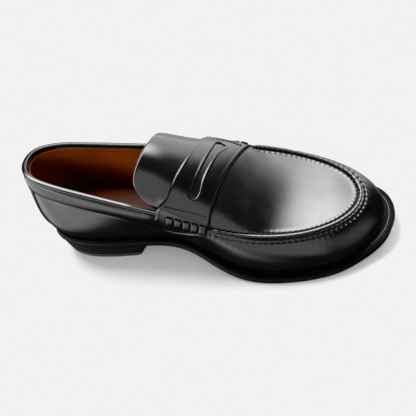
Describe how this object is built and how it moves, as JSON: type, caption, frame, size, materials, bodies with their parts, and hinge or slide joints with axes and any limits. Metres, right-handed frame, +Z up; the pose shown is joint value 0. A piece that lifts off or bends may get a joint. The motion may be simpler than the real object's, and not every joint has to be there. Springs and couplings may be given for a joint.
{
  "type": "penny loafer",
  "caption": "Slip-on leather shoe for a right foot with a moccasin-seamed apron, a slotted saddle strap, a springy tongue, a welted sole and a stacked block heel.",
  "frame": {"origin": "middle of the shoe's footprint, on the floor it stands on", "axes": "+X to the toe, +Y to the inner side of this right shoe, +Z up"},
  "size_m": [0.3014, 0.1096, 0.1037],
  "materials": {
    "calf": "polished black calf, soft broad highlights over a fine grain",
    "lining": "cognac brown lining leather, satin",
    "board": "pale tan leather board, matt",
    "sole": "black-inked sole leather, waxed edges",
    "rubber": "matt black heel rubber",
    "thread": "waxed black linen thread",
    "cork": "granular cork filler",
    "steel": "plain steel",
    "brass": "dull brass"
  },
  "bodies": {
    "shoe": {"quarter_outer": "calf", "quarter_inner": "calf", "vamp": "calf", "backstay": "calf", "topline_collar": "calf", "plug": "calf", "penny_strap": "calf", "strap_flap_outer": "calf", "strap_flap_inner": "calf", "strap_roll_outer": "calf", "strap_roll_inner": "calf", "quarter_lining": "lining", "vamp_lining": "lining", "plug_lining": "lining", "sock_liner": "lining", "heel_counter": "board", "toe_puff": "board", "insole": "board", "outsole": "sole", "welt": "sole", "heel_rand": "sole", "heel_lift_upper": "sole", "heel_lift_middle": "sole", "heel_lift_lower": "sole", "top_piece": "rubber", "roll_thread_outer": "thread", "strap_stitch_outer": "thread", "roll_thread_inner": "thread", "strap_stitch_inner": "thread", "apron_seam_thread": "thread", "collar_stitch": "thread", "welt_stitch": "thread", "cork_filler": "cork", "shank": "steel", "heel_nail_1": "steel", "heel_nail_2": "steel", "heel_nail_3": "steel", "heel_nail_4": "steel", "heel_nail_5": "steel", "top_piece_nail_1": "brass", "top_piece_nail_2": "brass", "top_piece_nail_3": "brass", "top_piece_nail_4": "brass", "top_piece_nail_5": "brass"},
    "tongue": {"tongue": "calf", "tongue_lining": "lining"}
  },
  "joints": [
    {"name": "tongue_lift", "type": "hinge", "parent": "shoe", "child": "tongue", "pos_m": [-0.02653, 0.00218, 0.088], "axis": [0.3981, 0.9173, 0], "range_deg": [0, 12], "stiffness_Nm_per_rad": 0.3}
  ]
}
